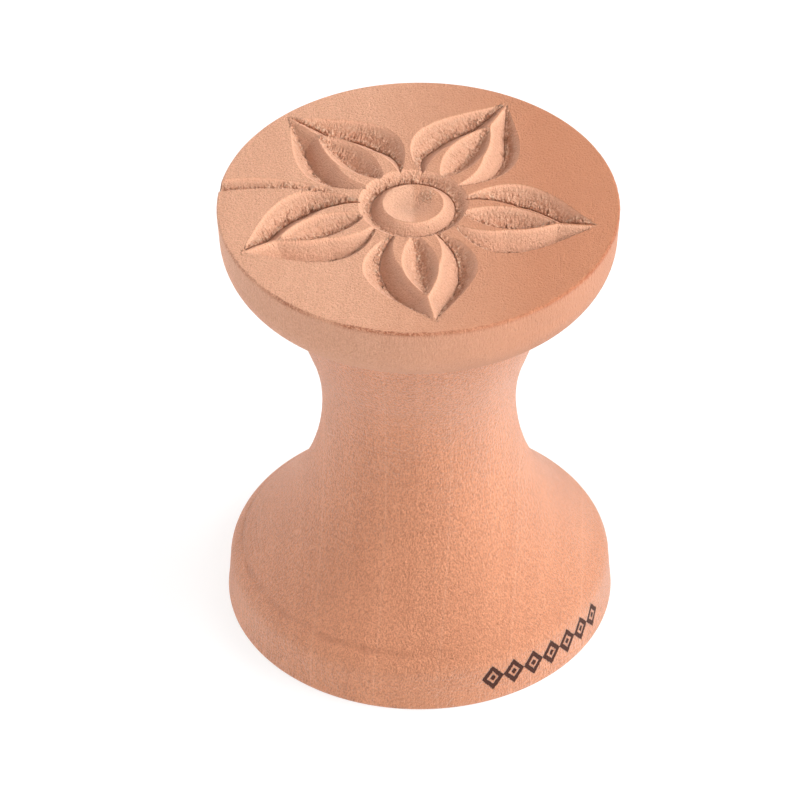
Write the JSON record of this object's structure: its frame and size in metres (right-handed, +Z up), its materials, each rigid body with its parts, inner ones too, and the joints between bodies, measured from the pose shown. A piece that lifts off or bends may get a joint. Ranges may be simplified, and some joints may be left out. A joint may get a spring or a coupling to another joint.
{
  "type": "wooden food stamp",
  "caption": "Turned wooden hand stamp: a round head with a carved flower on its face, a waisted handle and a flared bell foot, for printing butter pats or dough.",
  "frame": {"origin": "centre of the foot's flat lower face, on the surface that the stamp stands on", "axes": "+Z up the turning axis towards the carved face, +X to the viewer's right and +Y away from the viewer, with the carved stem leaving the flower to the left"},
  "size_m": [0.06, 0.06, 0.0745],
  "materials": {
    "carved_head": "matte, fine sanded, end grain and torn fibres in the carving",
    "handle": "matte, turned and sanded",
    "dowel": "matte, fluted"
  },
  "bodies": {
    "root": {"carved_head": "carved_head", "handle": "handle", "dowel": "dowel"}
  },
  "joints": []
}
